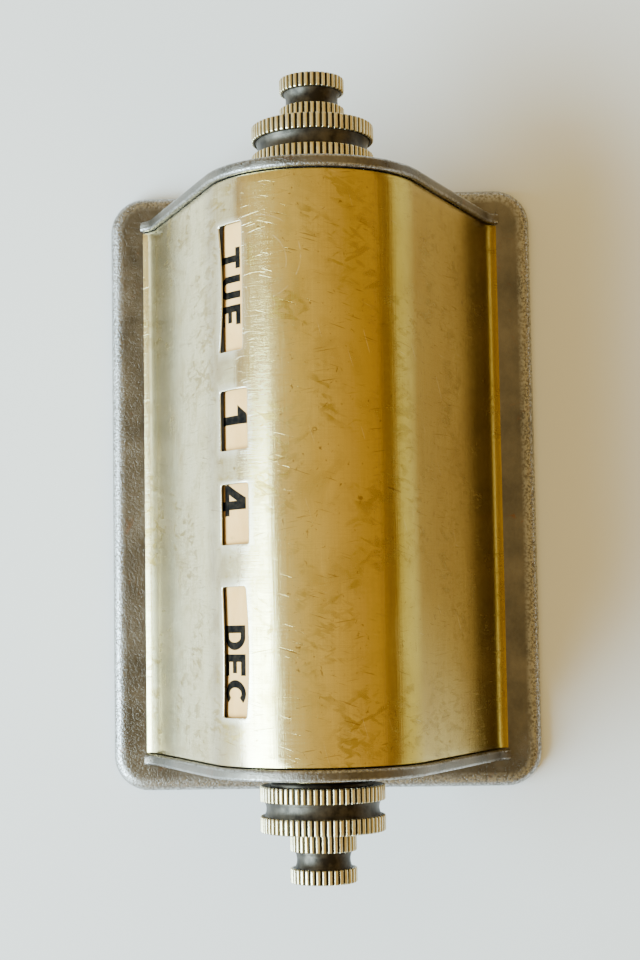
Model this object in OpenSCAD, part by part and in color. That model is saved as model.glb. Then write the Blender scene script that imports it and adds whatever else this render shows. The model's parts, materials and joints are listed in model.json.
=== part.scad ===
// Desk calendar with four turned drums under a brass cover.
// The drums share one axis along X. The large knob at each end turns the drum next to it through
// a hollow sleeve, and the small knob turns the inner drum through a shaft inside that sleeve.
// Millimetres. The origin is at the middle of the underside. The windows face -Y.

/* [Base] */
// Length of the base plate, along X
base_len = 85; // [80:0.5:100]
// Width of the base plate, along Y
base_wid = 60.4; // [58:0.2:80]
// Height of the plate's top above the table
base_top = 2.6; // [2.4:0.1:4]
// Thickness of the pressed steel sheet
base_sheet = 0.9; // [0.6:0.1:1.2]
// Corner radius of the base plate
base_corner = 5; // [3:0.5:8]
// Radius of the rounded upper rim
base_edge = 1.6; // [0.6:0.1:2]

/* [Case] */
// Length over the two end plates
case_len = 77.6; // [76:0.2:80]
// Thickness of an end plate
plate_t = 1.5; // [1:0.1:1.8]
// How far an end plate stands proud of the cover
plate_rim = 0.65; // [0.2:0.05:1]
// Thickness of the brass cover
cover_t = 0.4; // [0.3:0.1:0.6]
// Outer radius of the domed top of the cover
dome_r = 14.3; // [14.3:0.1:15]
// Half of the cover's width where it meets the base
foot_half = 25.4; // [24:0.2:27]
// Radius of the flare at the cover's foot
flare_r = 4.5; // [2:0.5:6]
// Slope of the flare where it meets the base
flare_slope = 28; // [24:1:50]
// Height of the drum axis above the table
axis_h = 24.1; // [23:0.1:28]

/* [Windows] */
// Elevation of the windows' lower edge, seen from the axis
window_low = 32.5; // [30:0.5:38]
// Elevation of the upper edge of the day and month windows
window_high = 51.6; // [50:0.1:60]
// Elevation of the upper edge of the two date windows
date_window_high = 54.3; // [50:0.1:60]
// Ends of the day window along X
day_window = [-31.3, -15];
// Ends of the tens window along X
tens_window = [-10, -2.4];
// Ends of the ones window along X
ones_window = [1.9, 9.5];
// Ends of the month window along X
month_window = [14.8, 31.1];

/* [Drums] */
// Outer radius of a drum's tin shell
drum_r = 13.45; // [12:0.05:13.5]
// Thickness of the tin shell and of the discs in its ends
tin_t = 0.4; // [0.3:0.1:0.8]
// Thickness of the paper label
label_t = 0.15; // [0.1:0.05:0.2]
// Distance from the middle to the near and far edges of an inner drum
inner_drum = [1.1, 12];
// Distance from the middle to the near and far edges of an outer drum
outer_drum = [12.7, 33.4];

/* [Shafts] */
// Radius of the shaft of an inner drum
shaft_r = 1.25; // [1:0.05:1.4]
// Outer radius of the sleeve of an outer drum
sleeve_r = 2.15; // [2:0.05:2.4]
// Radial running clearance of shafts and sleeves
running_gap = 0.05; // [0.03:0.01:0.1]

/* [Knobs] */
// Radius of a large knob over its knurl
knob_r = 8.1; // [7:0.1:9]
// Radius of a small knob over its knurl
finial_r = 4.3; // [4:0.05:5]
// Teeth round a large knob
knob_teeth = 62; // [40:1:70]
// Teeth round a small knob
finial_teeth = 34; // [20:1:40]
// Depth of the knurl
knurl_depth = 0.35; // [0.2:0.05:0.5]
// Distances from the end plate to the edges of a large knob's two knurled rings
knob_rings = [1.35, 3.35, 5.2, 7.25];
// Distances from the end plate to the edges of a small knob's two knurled rings
finial_rings = [7.35, 9.75, 11.85, 13.75];

/* [Hidden] */
$fn = 64;
DAY_END = -1;
MONTH_END = 1;
eps = 0.01;
end_face = case_len / 2;
inner_face = end_face - plate_t;
foot_z = base_top - axis_h;
cover_gap = 0.15;
pan_lift = 0.3;
felt_gap = 0.15;
shell_in = drum_r - tin_t;
shaft_bore = shaft_r + running_gap;
sleeve_bore = sleeve_r + running_gap;

// Screws that hold the case to the base
screw_r = 1.2;
screw_head_r = 2.2;
screw_head_h = 1;
screw_hole_gap = 0.1;
pocket_r = 2.6;
tab = [7, 9, 1.5];
tab_y = 15;
hem_w = 5;
bracket_foot = [6, 18, 0.9];
tab_screws = [for (x = [-1, 1], y = [-1, 1]) [x * (inner_face - tab.x / 2), y * tab_y, tab.z]];
hem_screws = [for (x = [-1, 1], y = [-1, 1]) [x * 20, y * (foot_half - 3.3), cover_t]];
bracket_screws = [for (y = [-1, 1]) [3.8, y * 6, bracket_foot.z]];
screws = concat(tab_screws, hem_screws, bracket_screws);

// Bushes, hubs and washers
bush_r = 3.3;
bush_flange_r = 5.2;
bush_flange_t = 0.8;
centre_bush_r = 2.5;
centre_bush_half = 2.2;
bracket_t = 0.8;
bracket_top_r = 6;
washer_gap = 0.35;
washer_t = 0.2;
boss_r = 3.6;
boss_len = 2.2;
hub_inset = 0.6;
sleeve_start = outer_drum[0] + 0.3;
end_bush_in = inner_face - bush_flange_t;

// Knobs
knob_back = 0.85;
knob_back_r = 6.7;
knob_groove_r = 7.3;
finial_neck_r = 3.5;
ring_bevel = 0.2;
set_screw_r = 0.8;

// Lays a flat outline across the axis, from x0 to x1. Its y becomes height above the axis.
module across(x0, x1) {
  translate([x0, 0, axis_h])
    rotate([90, 0, 90])
      linear_extrude(x1 - x0)
        children();
}

// Turns a profile of [radius, x] points about the axis
module turned(points) {
  translate([0, 0, axis_h])
    rotate([0, 90, 0])
      rotate_extrude()
        polygon(points);
}

// A plain tube or disc about the axis
module ring(r_in, r_out, x0, x1) {
  turned([[r_in, x0], [r_out, x0], [r_out, x1], [r_in, x1]]);
}

// Draws a piece of the month end as it is, and of the day end as its mirror image
module at_end(side) {
  if (side == MONTH_END)
    children();
  else
    mirror([1, 0, 0])
      children();
}

// Outline of the case, standing proud of the cover's outside by grow: a dome, straight sides that
// run on from it, and a foot that flares out to meet the base
flare_centre = [foot_half, foot_z] + flare_r * [sin(flare_slope), cos(flare_slope)];
side_normal = atan2(flare_centre.y, flare_centre.x) + acos((dome_r + flare_r) / norm(flare_centre));
function arc(centre, r, from, to, steps) =
  [for (i = [0:steps]) let (a = from + (to - from) * i / steps) centre + r * [cos(a), sin(a)]];
function flare(grow) = arc(flare_centre, grow - flare_r, 90 - flare_slope, side_normal, 6);
function flip(points) = [for (i = [len(points) - 1:-1:0]) [-points[i].x, points[i].y]];
function heel(grow) = grow == 0 ? [] : [[flare(grow)[0].x, foot_z - (grow > 0 ? 0 : 1)]];
function half_bell(grow) = concat(heel(grow), flare(grow));
function bell(grow) =
  concat(
    half_bell(grow),
    arc([0, 0], dome_r + grow, side_normal, 180 - side_normal, 48),
    flip(half_bell(grow))
  );

// Outline of a straight knurl: four points a tooth, with a flat land and a narrower valley
TOOTH = [[0, 0], [0.5, 0], [0.64, 1], [0.86, 1]];
function knurl(r, teeth) =
  [for (i = [0:teeth - 1], t = TOOTH) let (a = 360 * (i + t[0]) / teeth)
    (r - knurl_depth * t[1]) * [cos(a), sin(a)]];

module rounded_rect(size, r) {
  for (a = [-1, 1])
    for (b = [-1, 1])
      translate([a * (size.x / 2 - r), b * (size.y / 2 - r)])
        circle(r);
  square([size.x - 2 * r, size.y], center = true);
  square([size.x, size.y - 2 * r], center = true);
}

// One corner of the pan, with the rounded upper rim
module pan_corner() {
  height = base_top - pan_lift;
  rim = [for (a = [0:15:90]) [base_corner - base_edge, height - base_edge] + base_edge * [cos(a), sin(a)]];
  rotate_extrude($fn = 32)
    polygon(concat([[0, 0], [base_corner, 0]], rim, [[0, height]]));
}

module base_pan() {
  inside = [base_len, base_wid] - 2 * base_sheet * [1, 1];
  color("dimgray")
    difference() {
      translate([0, 0, pan_lift])
        hull()
          for (a = [-1, 1])
            for (b = [-1, 1])
              translate([a * (base_len / 2 - base_corner), b * (base_wid / 2 - base_corner)])
                pan_corner();
      translate([0, 0, -eps])
        linear_extrude(base_top - base_sheet + eps)
          rounded_rect(inside, base_corner - base_sheet);
      for (s = screws)
        translate([s.x, s.y, 0])
          cylinder(h = 2 * base_top, r = screw_r + screw_hole_gap);
    }
}

module felt_pad() {
  size = [base_len, base_wid] - 2 * (base_sheet + felt_gap) * [1, 1];
  top = base_top - base_sheet;
  color("darkolivegreen")
    difference() {
      linear_extrude(top)
        rounded_rect(size, base_corner - base_sheet - felt_gap);
      for (s = screws)
        translate([s.x, s.y, top - screw_head_h - 0.1])
          cylinder(h = 2 * base_top, r = pocket_r);
    }
}

// Screws from below into the end plates' tabs, the cover's hems and the bracket's foot
module base_screws() {
  under = base_top - base_sheet;
  color("silver")
    for (s = screws)
      translate([s.x, s.y, 0])
        difference() {
          union() {
            translate([0, 0, under - screw_head_h])
              cylinder(h = screw_head_h, r = screw_head_r);
            translate([0, 0, under - eps])
              cylinder(h = base_sheet + s.z + eps, r = screw_r);
          }
          translate([0, 0, under - screw_head_h])
            cube([2 * screw_head_r + 1, 0.5, 0.8], center = true);
        }
}

module window(span, high) {
  far = 2 * dome_r;
  across(span[0], span[1])
    polygon([[0, 0], far * [-cos(window_low), sin(window_low)], far * [-cos(high), sin(high)]]);
}

module cover() {
  half = inner_face - cover_gap;
  color("darkgoldenrod")
    difference() {
      union() {
        difference() {
          across(-half, half)
            polygon(bell(0));
          across(-half - 1, half + 1)
            polygon(bell(-cover_t));
        }
        for (side = [-1, 1])
          translate([-half, side > 0 ? foot_half - hem_w : -foot_half + eps, base_top])
            cube([2 * half, hem_w - eps, cover_t]);
      }
      window(day_window, window_high);
      window(tens_window, date_window_high);
      window(ones_window, date_window_high);
      window(month_window, window_high);
      for (s = hem_screws)
        translate([s.x, s.y, base_top - 1])
          cylinder(h = 2, r = screw_r);
    }
}

// A steel plate that closes one end, with two tabs bent in over the base
module end_plate() {
  color("gray")
    difference() {
      union() {
        across(inner_face, end_face)
          polygon(bell(plate_rim));
        for (y = [-tab_y, tab_y])
          translate([inner_face - tab.x, y - tab.y / 2, base_top])
            cube([tab.x + eps, tab.y, tab.z]);
      }
      ring(0, bush_r, inner_face - 1, end_face + 1);
      for (s = tab_screws)
        translate([abs(s.x), s.y, base_top - 1])
          cylinder(h = 4, r = screw_r);
    }
}

module day_end_plate() at_end(DAY_END) end_plate();
module month_end_plate() at_end(MONTH_END) end_plate();

// Flanged bush riveted into an end plate, for a sleeve to turn in
module end_bush() {
  color("peru")
    turned([
      [sleeve_bore, end_bush_in], [bush_flange_r, end_bush_in], [bush_flange_r, inner_face],
      [bush_r, inner_face], [bush_r, end_face], [bush_flange_r, end_face],
      [bush_flange_r, end_face + bush_flange_t], [sleeve_bore, end_face + bush_flange_t],
    ]);
}

module day_end_bush() at_end(DAY_END) end_bush();
module month_end_bush() at_end(MONTH_END) end_bush();

// Upright between the two inner drums, with a foot screwed to the base
module centre_bracket() {
  half = bracket_t / 2;
  color("slategray")
    difference() {
      union() {
        across(-half, half)
          polygon([
            [-bracket_foot.y / 2, foot_z], [bracket_foot.y / 2, foot_z],
            [bracket_top_r, bracket_top_r / 2], [bracket_top_r / 2, bracket_top_r],
            [-bracket_top_r / 2, bracket_top_r], [-bracket_top_r, bracket_top_r / 2],
          ]);
        translate([0, -bracket_foot.y / 2, base_top])
          cube(bracket_foot);
      }
      ring(0, centre_bush_r, -1, 1);
      for (s = bracket_screws)
        translate([s.x, s.y, base_top - 1])
          cylinder(h = 3, r = screw_r);
    }
}

// Bush in the bracket, for the inner ends of both shafts
module centre_bush() {
  color("peru")
    ring(shaft_bore, centre_bush_r, -centre_bush_half, centre_bush_half);
}

// Dished spring washer: it presses on a hub so that its drum stays where it is put
module friction_washer(bore, r, x) {
  color("lightsteelblue")
    turned([
      [bore, x], [bore + washer_t, x], [r, x + washer_gap - washer_t],
      [r, x + washer_gap], [r - washer_t, x + washer_gap], [bore, x + washer_t],
    ]);
}

module inner_washer() friction_washer(shaft_bore + running_gap, 3.2, centre_bush_half);
module outer_washer() friction_washer(sleeve_bore + running_gap, 4.2, end_bush_in - washer_gap);
module day_friction_washer() at_end(DAY_END) outer_washer();
module tens_friction_washer() at_end(DAY_END) inner_washer();
module ones_friction_washer() at_end(MONTH_END) inner_washer();
module month_friction_washer() at_end(MONTH_END) outer_washer();

module drum(span) {
  color("lightgray")
    ring(shell_in, drum_r, span[0], span[1]);
}

module label(span) {
  color("wheat")
    ring(drum_r, drum_r + label_t, span[0], span[1]);
}

// A tin disc from x0, with a boss from x1 to x2 that grips the shaft or sleeve
module hub(bore, x0, x1, x2) {
  color("tan")
    union() {
      ring(bore, shell_in, x0, x0 + 2 * tin_t);
      ring(bore, boss_r, x1, x2);
    }
}

module inner_drum_inner_hub() {
  start = centre_bush_half + 1.1 * washer_gap;
  hub(shaft_r, start, start, start + boss_len);
}

module inner_drum_outer_hub() {
  start = inner_drum[1] - hub_inset - 2 * tin_t;
  hub(shaft_r, start, start + 2 * tin_t - boss_len, start + 2 * tin_t);
}

module outer_drum_inner_hub() {
  start = outer_drum[0] + hub_inset;
  hub(sleeve_r, start, start, start + boss_len);
}

module outer_drum_outer_hub() {
  start = outer_drum[1] - hub_inset - 2 * tin_t;
  hub(sleeve_r, start, start, end_bush_in - 1.1 * washer_gap);
}

module sleeve() {
  color("silver")
    ring(shaft_bore, sleeve_r, sleeve_start, end_face + knob_rings[3]);
}

module shaft() {
  color("silver")
    turned([
      [0, 0.2], [shaft_r, 0.2], [shaft_r, end_face + finial_rings[3] - 1],
      [0, end_face + finial_rings[3] - 1],
    ]);
}

// A knurled ring with bevelled edges
module knurled_ring(r, teeth, x0, x1) {
  b = ring_bevel;
  intersection() {
    across(x0, x1)
      polygon(knurl(r, teeth));
    turned([[0, x0], [r - b, x0], [r, x0 + b], [r, x1 - b], [r - b, x1], [0, x1]]);
  }
}

module set_screw_hole(x, r) {
  translate([x, 0, axis_h - r])
    cylinder(h = r, r = set_screw_r);
}

// Headless screw from below, with a slot
module set_screw(x, r_in, r_out) {
  color("dimgray")
    translate([x, 0, axis_h - r_out])
      difference() {
        cylinder(h = r_out - r_in, r = set_screw_r);
        cube([4 * set_screw_r, 0.3, 0.8], center = true);
      }
}

module knob(teeth = knob_teeth) {
  a = [for (d = knob_rings) end_face + d];
  root = knob_r - knurl_depth - ring_bevel;
  color("darkkhaki")
    difference() {
      union() {
        turned([
          [0, end_face + knob_back], [knob_back_r, end_face + knob_back], [knob_back_r, a[0]],
          [root, a[0]], [root, a[1]], [knob_groove_r, a[1]], [knob_groove_r, a[2]], [root, a[2]],
          [root, a[3] - eps], [0, a[3] - eps],
        ]);
        knurled_ring(knob_r, teeth, a[0], a[1]);
        knurled_ring(knob_r, teeth, a[2], a[3]);
      }
      ring(0, sleeve_r, end_face, a[3] + 1);
      set_screw_hole((a[1] + a[2]) / 2, knob_r);
    }
}

module finial(teeth = finial_teeth) {
  a = [for (d = finial_rings) end_face + d];
  root = finial_r - knurl_depth - ring_bevel;
  color("darkkhaki")
    difference() {
      union() {
        turned([
          [0, a[0] + eps], [root, a[0] + eps], [root, a[1]], [finial_neck_r, a[1] + 0.6],
          [finial_neck_r, a[2] - 0.5], [root, a[2]], [root, a[3] - eps], [0, a[3] - eps],
        ]);
        knurled_ring(finial_r, teeth, a[0], a[1]);
        knurled_ring(finial_r, teeth, a[2], a[3]);
      }
      ring(0, shaft_r, end_face, a[3] - 1);
      set_screw_hole((a[1] + a[2]) / 2, finial_r);
    }
}

module knob_set_screw() {
  set_screw(end_face + (knob_rings[1] + knob_rings[2]) / 2, sleeve_r, knob_groove_r - 0.7);
}

module finial_set_screw() {
  set_screw(end_face + (finial_rings[1] + finial_rings[2]) / 2, shaft_r, finial_neck_r - 0.4);
}

module day_drum() at_end(DAY_END) drum(outer_drum);
module day_hub_outer() at_end(DAY_END) outer_drum_outer_hub();
module day_hub_inner() at_end(DAY_END) outer_drum_inner_hub();
module day_label() at_end(DAY_END) label(outer_drum);
module day_sleeve() at_end(DAY_END) sleeve();
module day_knob() at_end(DAY_END) knob();
module day_set_screw() at_end(DAY_END) knob_set_screw();

module tens_drum() at_end(DAY_END) drum(inner_drum);
module tens_hub_outer() at_end(DAY_END) inner_drum_outer_hub();
module tens_hub_inner() at_end(DAY_END) inner_drum_inner_hub();
module tens_label() at_end(DAY_END) label(inner_drum);
module tens_shaft() at_end(DAY_END) shaft();
module tens_knob() at_end(DAY_END) finial();
module tens_set_screw() at_end(DAY_END) finial_set_screw();

module ones_drum() at_end(MONTH_END) drum(inner_drum);
module ones_hub_outer() at_end(MONTH_END) inner_drum_outer_hub();
module ones_hub_inner() at_end(MONTH_END) inner_drum_inner_hub();
module ones_label() at_end(MONTH_END) label(inner_drum);
module ones_shaft() at_end(MONTH_END) shaft();
module ones_knob() at_end(MONTH_END) finial();
module ones_set_screw() at_end(MONTH_END) finial_set_screw();

module month_drum() at_end(MONTH_END) drum(outer_drum);
module month_hub_outer() at_end(MONTH_END) outer_drum_outer_hub();
module month_hub_inner() at_end(MONTH_END) outer_drum_inner_hub();
module month_label() at_end(MONTH_END) label(outer_drum);
module month_sleeve() at_end(MONTH_END) sleeve();
module month_knob() at_end(MONTH_END) knob();
module month_set_screw() at_end(MONTH_END) knob_set_screw();

base_pan();
felt_pad();
base_screws();
cover();
centre_bracket();
centre_bush();
day_end_plate();
day_end_bush();
month_end_plate();
month_end_bush();
day_friction_washer();
tens_friction_washer();
ones_friction_washer();
month_friction_washer();
day_drum();
day_hub_outer();
day_hub_inner();
day_label();
day_sleeve();
day_knob();
day_set_screw();
tens_drum();
tens_hub_outer();
tens_hub_inner();
tens_label();
tens_shaft();
tens_knob();
tens_set_screw();
ones_drum();
ones_hub_outer();
ones_hub_inner();
ones_label();
ones_shaft();
ones_knob();
ones_set_screw();
month_drum();
month_hub_outer();
month_hub_inner();
month_label();
month_sleeve();
month_knob();
month_set_screw();
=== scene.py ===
"""Desk calendar with four turned drums: the visual model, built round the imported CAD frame."""

import json
import math

import bmesh
import bpy
from mathutils import Matrix, Vector, noise
from mathutils.geometry import delaunay_2d_cdt


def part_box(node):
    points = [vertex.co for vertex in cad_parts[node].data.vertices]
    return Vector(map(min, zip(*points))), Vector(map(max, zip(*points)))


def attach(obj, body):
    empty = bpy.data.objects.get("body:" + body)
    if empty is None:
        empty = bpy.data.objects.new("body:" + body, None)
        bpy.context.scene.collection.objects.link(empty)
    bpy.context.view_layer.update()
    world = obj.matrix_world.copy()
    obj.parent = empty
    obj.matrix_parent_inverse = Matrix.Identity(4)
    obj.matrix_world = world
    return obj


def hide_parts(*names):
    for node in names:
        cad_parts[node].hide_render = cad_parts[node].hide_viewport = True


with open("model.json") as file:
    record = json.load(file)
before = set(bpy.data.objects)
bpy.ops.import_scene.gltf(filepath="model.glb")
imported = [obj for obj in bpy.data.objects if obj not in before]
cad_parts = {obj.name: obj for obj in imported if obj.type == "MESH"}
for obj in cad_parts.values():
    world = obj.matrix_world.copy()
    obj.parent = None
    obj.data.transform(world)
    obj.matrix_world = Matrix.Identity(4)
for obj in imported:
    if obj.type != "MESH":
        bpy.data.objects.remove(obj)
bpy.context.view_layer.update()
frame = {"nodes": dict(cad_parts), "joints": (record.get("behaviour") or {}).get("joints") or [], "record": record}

MM = 0.001
TAU = 2 * math.pi
NODES = frame["nodes"]
AXIS_Z = frame["joints"][0]["pos_m"][2]
COVER_LO, COVER_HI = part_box("cover")
PLATE_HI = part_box("month_end_plate")[1]
PAN_LO, PAN_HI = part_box("base_pan")
PAD_LO, PAD_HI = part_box("felt_pad")
KNOB_LO, KNOB_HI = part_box("month_knob")
FINIAL_LO, FINIAL_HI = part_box("ones_knob")
LABEL_LO, LABEL_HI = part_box("month_label")
LABEL_R = (LABEL_HI.z - LABEL_LO.z) / 2

# The case, as part.scad has it
DOME_R = COVER_HI.z - AXIS_Z
COVER_T = 0.4 * MM
PLATE_T = 1.5 * MM
PLATE_RIM = PLATE_HI.z - COVER_HI.z
PLATE_EDGE_R = 0.42 * MM
PLATE_TAB = (7 * MM, 9 * MM, 1.5 * MM)
PLATE_TAB_Y = 15 * MM
HEM_WIDTH = 5 * MM
HEM_INSET = 1.2 * MM
FLARE_R = 4.5 * MM
FLARE_END = math.radians(62)
BUSH_R = 3.3 * MM
PAN_CORNER_R = 5 * MM
PAD_CORNER_R = 3.9 * MM
WINDOW_LOW = math.radians(32.5)
WINDOW_HIGH = math.radians(51.6)
DATE_WINDOW_HIGH = math.radians(54.3)
WINDOWS = {
    "day": (-31.3 * MM, -15.0 * MM, WINDOW_HIGH),
    "tens": (-10.0 * MM, -2.4 * MM, DATE_WINDOW_HIGH),
    "ones": (1.9 * MM, 9.5 * MM, DATE_WINDOW_HIGH),
    "month": (14.8 * MM, 31.1 * MM, WINDOW_HIGH),
}
CORNER_R = 0.3 * MM

# The windows were cut by hand: how far the middle of the lower edge is bowed up, how far the
# inner edge of that lip is filed up past the outer one, and the upper edge's bow
# Filing the inner edge up shows a wider strip of the near-black cut edge, the painted shade of the gap behind the
# lip.
HAND_CUT = {
    "day": (0.8 * MM, 0.6 * MM, 0.05 * MM),
    "tens": (0.0, 0.3 * MM, 0.0),
    "ones": (0.0, -0.2 * MM, 0.0),
    "month": (0.3 * MM, 0.0, 0.45 * MM),
}


# ---------------------------------------------------------------- mesh helpers

def add_object(name, bm, material, body, replaces=(), sharp=35):
    """Makes a piece from bm, shades it smooth up to the sharp angle, and rides it on body."""
    mesh = bpy.data.meshes.new(name)
    bm.normal_update()
    bm.to_mesh(mesh)
    bm.free()
    mesh.shade_smooth()
    mesh.set_sharp_from_angle(angle=math.radians(sharp))
    mesh.materials.append(material)
    obj = bpy.data.objects.new(name, mesh)
    bpy.context.scene.collection.objects.link(obj)
    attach(obj, body)
    if replaces:
        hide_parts(*replaces)
    return obj


def new_mesh():
    """A bmesh with the wear layer: 0 is dark and oxidised, 1 is bright, from worn metal and, on the steel's
    rounded edges, a painted highlight as well.
    """
    bm = bmesh.new()
    bm.verts.layers.float.new("wear")
    return bm


def bridge(bm, rings, closed_rings=True, closed_loop=False):
    """Quads between neighbouring rings of vertices. Each ring has the same count."""
    pairs = list(zip(rings, rings[1:]))
    if closed_loop:
        pairs.append((rings[-1], rings[0]))
    count = len(rings[0])
    last = count if closed_rings else count - 1
    for lower, upper in pairs:
        for i in range(last):
            j = (i + 1) % count
            bm.faces.new((lower[i], lower[j], upper[j], upper[i]))


def add_ring(bm, points, wear=0.0):
    """Vertices at points; wear is one number or one for each point."""
    layer = bm.verts.layers.float["wear"]
    ring = []
    for i, point in enumerate(points):
        vert = bm.verts.new(point)
        vert[layer] = wear[i] if isinstance(wear, list) else wear
        ring.append(vert)
    return ring


def add_block(bm, low, high):
    """A small plain tab inside the case."""
    made = bmesh.ops.create_cube(bm, size=1.0)["verts"]
    low, high = Vector(low), Vector(high)
    size = high - low
    for vert in made:
        vert.co = low + Vector((size[i] * (vert.co[i] + 0.5) for i in range(3)))


def quarter(radius, steps=4):
    """(inset, drop) pairs round a rounded edge, from the side to the top."""
    angles = [math.pi / 2 * i / steps for i in range(steps + 1)]
    return [(radius * (1 - math.cos(a)), radius * (1 - math.sin(a))) for a in angles]


# ---------------------------------------------------------------- the case's outline

def unit(angle):
    return Vector((math.cos(angle), math.sin(angle)))


FOOT = Vector((COVER_HI.y, PAN_HI.z - AXIS_Z))
FLARE_CENTRE = FOOT + FLARE_R * unit(FLARE_END)
SIDE_NORMAL = math.atan2(FLARE_CENTRE.y, FLARE_CENTRE.x) + math.acos(
    (DOME_R + FLARE_R) / FLARE_CENTRE.length
)
DOME_LEN = DOME_R * (math.pi / 2 - SIDE_NORMAL)
SIDE_TOP = DOME_R * unit(SIDE_NORMAL)
SIDE_LEN = (FLARE_CENTRE - FLARE_R * unit(SIDE_NORMAL) - SIDE_TOP).length
HALF_SHEET = DOME_LEN + SIDE_LEN + FLARE_R * (FLARE_END - SIDE_NORMAL)


def outline(s, grow=0.0):
    """(y, height above the axis) and the outward normal, at distance s round the cover from its top."""
    d = abs(s)
    if d <= DOME_LEN:
        normal = unit(math.pi / 2 - d / DOME_R)
        point = (DOME_R + grow) * normal
    elif d <= DOME_LEN + SIDE_LEN:
        normal = unit(SIDE_NORMAL)
        along = Vector((math.sin(SIDE_NORMAL), -math.cos(SIDE_NORMAL)))
        point = SIDE_TOP + (d - DOME_LEN) * along + grow * normal
    else:
        normal = unit(SIDE_NORMAL + (d - DOME_LEN - SIDE_LEN) / FLARE_R)
        point = FLARE_CENTRE - (FLARE_R - grow) * normal
    if s < 0:
        point.x = -point.x
        normal.x = -normal.x
    return point, normal


def place(x, s, depth=0.0):
    """The point at x and s on the cover's outside, sunk by depth."""
    point, normal = outline(s)
    flat = point - depth * normal
    return Vector((x, flat.x, AXIS_Z + flat.y))


def window_rect(name):
    """(x0, x1, s0, s1) of a window on the cover's sheet."""
    x0, x1, high = WINDOWS[name]
    return x0, x1, -DOME_R * (math.pi / 2 - WINDOW_LOW), -DOME_R * (math.pi / 2 - high)


def window_distance(rect, x, s):
    """Signed distance from a window's edge, which has rounded corners; positive outside."""
    x0, x1, s0, s1 = rect
    dx = abs(x - (x0 + x1) / 2) - (x1 - x0) / 2 + CORNER_R
    ds = abs(s - (s0 + s1) / 2) - (s1 - s0) / 2 + CORNER_R
    outside = math.hypot(max(dx, 0.0), max(ds, 0.0))
    return outside + min(max(dx, ds), 0.0) - CORNER_R


def rounded_loop(x0, x1, s0, s1, radius, step, corner_steps=6):
    """Points round a rectangle with rounded corners, anticlockwise."""
    corners = ((x1, s1, 0), (x0, s1, 1), (x0, s0, 2), (x1, s0, 3))
    loop = []
    for cx, cs, turn in corners:
        mx = cx - radius * (1 if cx == x1 else -1)
        ms = cs - radius * (1 if cs == s1 else -1)
        for i in range(corner_steps + 1):
            a = math.pi / 2 * (turn + i / corner_steps)
            loop.append(Vector((mx + radius * math.cos(a), ms + radius * math.sin(a))))
    filled = []
    for a, b in zip(loop, loop[1:] + loop[:1]):
        parts = max(1, round((b - a).length / step))
        filled += [a.lerp(b, i / parts) for i in range(parts)]
    return filled


# ---------------------------------------------------------------- the cover

LIP_R = 0.14 * MM
END_LIP = 0.12 * MM
WORN_LIP = 0.6 * MM
GRID_GAP = 0.6 * MM
GRID_X, GRID_S = 60, 144
CUT_SPREAD = 1.2 * MM
FILED_STRAIGHT = 0.5 * MM


def lip_drop(distance, radius):
    """How far a rounded edge has fallen at a distance from the edge."""
    if distance >= radius:
        return 0.0
    return radius - math.sqrt(max(radius**2 - (radius - max(distance, 0.0)) ** 2, 0.0))


def sheet_wobble(x, s):
    """Hand-worked sheet is never quite true: a shallow, smooth unevenness, inward only."""
    broad = noise.noise(Vector((x / (21 * MM), s / (13 * MM), 3.1)))
    fine = noise.noise(Vector((x / (8 * MM), s / (6 * MM), 7.7)))
    return 0.035 * MM * (0.5 + 0.5 * broad) + 0.006 * MM * (0.5 + 0.5 * fine)


def sheet_layout():
    """The flat sheet as triangles: a grid, with denser loops round the windows.

    The triangulation works in millimetres, where its tolerance is safe.
    """
    half_x = COVER_HI.x
    rects = [window_rect(name) for name in WINDOWS]
    lips = (0.0, 0.04 * MM, 0.1 * MM, LIP_R, 2 * LIP_R)
    inner = half_x - END_LIP
    columns = [-half_x, -half_x + END_LIP / 3, half_x - END_LIP / 3, half_x]
    columns += [-inner + 2 * inner * i / GRID_X for i in range(GRID_X + 1)]
    rows = [HALF_SHEET * (2 * i / GRID_S - 1) for i in range(GRID_S + 1)]
    points, edges = [], []
    for x in sorted(columns):
        for s in rows:
            if all(window_distance(rect, x, s) > GRID_GAP for rect in rects):
                points.append(Vector((x, s)))
    for x0, x1, s0, s1 in rects:
        for g in lips:
            loop = rounded_loop(x0 - g, x1 + g, s0 - g, s1 + g, CORNER_R + g, 0.5 * MM)
            start = len(points)
            points += loop
            edges += [(start + i, start + (i + 1) % len(loop)) for i in range(len(loop))]
    scale = 1 / MM
    verts, _, faces, *_ = delaunay_2d_cdt([p * scale for p in points], edges, [], 0, 1e-5)
    flat = [v * MM for v in verts]
    kept = []
    for face in faces:
        centre = sum((flat[i] for i in face), Vector((0, 0))) / len(face)
        if all(window_distance(rect, centre.x, centre.y) > 0 for rect in rects):
            kept.append(face)
    return flat, kept, rects


def hand_cut_shift(x, s, inside):
    """How far the hand-cut windows carry a point of the sheet along s."""
    shift = 0.0
    for name, (low_bow, filed, high_bow) in HAND_CUT.items():
        x0, x1, s0, s1 = window_rect(name)
        along = (x - (x0 + x1) / 2) / ((x1 - x0) / 2)
        reach = 1.0 if abs(along) <= 1 else math.exp(-(((abs(along) - 1) * (x1 - x0) / MM) ** 2))
        arch = max(0.0, 1 - along**2)
        low = low_bow * arch
        if inside:
            # A lip filed far back is straight inside, a lightly filed one keeps its bow
            low = filed * reach + (low if filed < FILED_STRAIGHT else 0.0)
        shift += low * math.exp(-(((s - s0) / CUT_SPREAD) ** 2))
        shift += high_bow * arch * math.exp(-(((s - s1) / CUT_SPREAD) ** 2))
    return shift


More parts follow.
